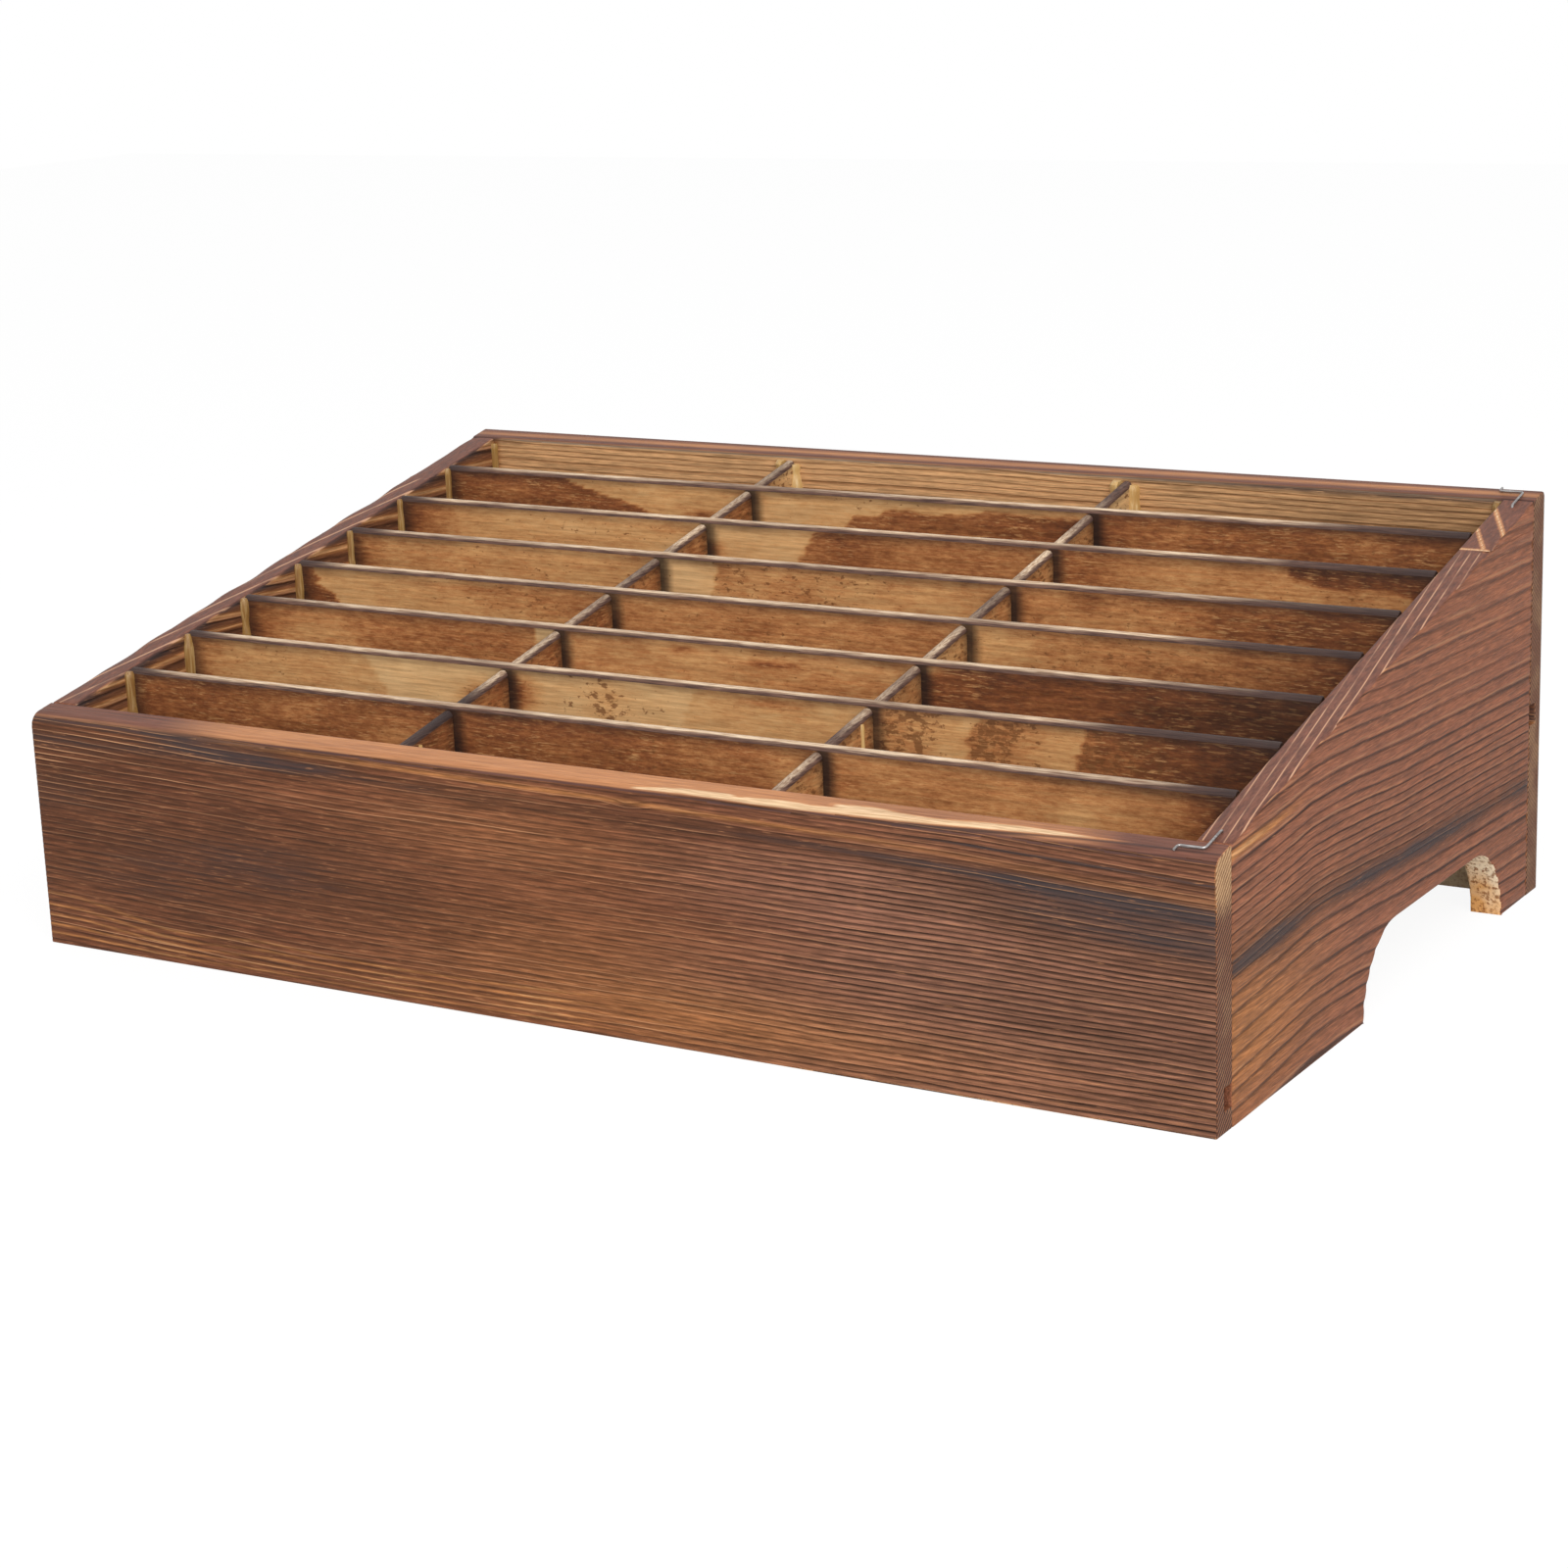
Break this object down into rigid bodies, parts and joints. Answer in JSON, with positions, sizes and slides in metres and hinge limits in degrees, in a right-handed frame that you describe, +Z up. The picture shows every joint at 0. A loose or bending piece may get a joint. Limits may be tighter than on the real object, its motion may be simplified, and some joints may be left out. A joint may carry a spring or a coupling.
{
  "type": "key and phone organizer",
  "caption": "Sloping scorched-wood desk box with a grid of open cells for phones or keys, arched hand gaps at both sides and wire staples at the right-hand corners.",
  "frame": {"origin": "on the table, under the middle of the box", "axes": "+X to the right seen from the front, the low front board faces -Y, +Z up"},
  "size_m": [0.36, 0.221, 0.1149],
  "materials": {
    "scorched_softwood": "scorched and wire-brushed, satin lacquer",
    "scorched_plywood": "unevenly scorched, thin satin lacquer",
    "bare_plywood": "bare, sanded",
    "staple_wire": "bright drawn wire",
    "dried_glue": "dried wood glue, satin"
  },
  "bodies": {
    "root": {"front_board": "scorched_softwood", "back_board": "scorched_softwood", "left_side_board": "scorched_softwood", "left_side_top_strip": "scorched_softwood", "right_side_board": "scorched_softwood", "right_side_top_strip": "scorched_softwood", "bottom_panel": "bare_plywood", "row_divider_1": "scorched_plywood", "row_divider_2": "scorched_plywood", "row_divider_3": "scorched_plywood", "row_divider_4": "scorched_plywood", "row_divider_5": "scorched_plywood", "row_divider_6": "scorched_plywood", "row_divider_7": "scorched_plywood", "column_divider_1": "scorched_plywood", "column_divider_2": "scorched_plywood", "staple_front_right": "staple_wire", "staple_back_right": "staple_wire"}
  },
  "joints": []
}
